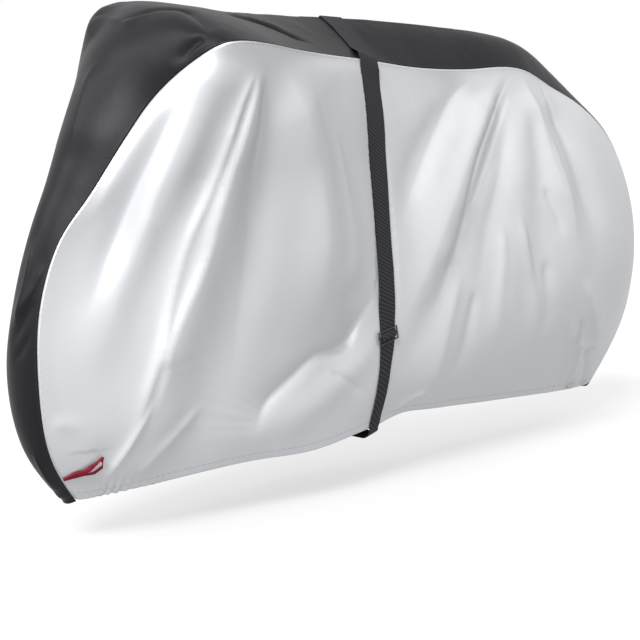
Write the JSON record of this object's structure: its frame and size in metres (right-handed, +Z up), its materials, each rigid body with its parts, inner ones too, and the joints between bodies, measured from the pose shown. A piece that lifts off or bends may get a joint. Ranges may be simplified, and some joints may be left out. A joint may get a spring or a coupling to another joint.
{
  "type": "fitted bicycle cover",
  "caption": "Hollow fitted bicycle cover with silver side panels, a black centre panel over front, top and back, a webbing strap with a slider and a red ribbon pull, open underneath.",
  "frame": {"origin": "just under the cloth on the middle plane, where the top turns down towards the rear; the bicycle's saddle is taken to end there, and holds the cover up", "axes": "+X towards the rear wheel, +Y towards the far side (away from the side with the ribbon pull), +Z up"},
  "size_m": [2.016, 0.5551, 0.9749],
  "materials": {
    "silver_cloth": "silver coated polyester, soft sheen",
    "black_cloth": "black coated polyester, soft sheen",
    "webbing": "ribbed polypropylene webbing, dull",
    "slider_plastic": "moulded plastic, satin",
    "red_ribbon": "woven ribbon, slight sheen"
  },
  "bodies": {
    "root": {"side_panel_near": "silver_cloth", "side_panel_far": "silver_cloth", "centre_panel": "black_cloth", "strap": "webbing", "strap_slider": "slider_plastic", "pull_loop": "red_ribbon"}
  },
  "joints": []
}
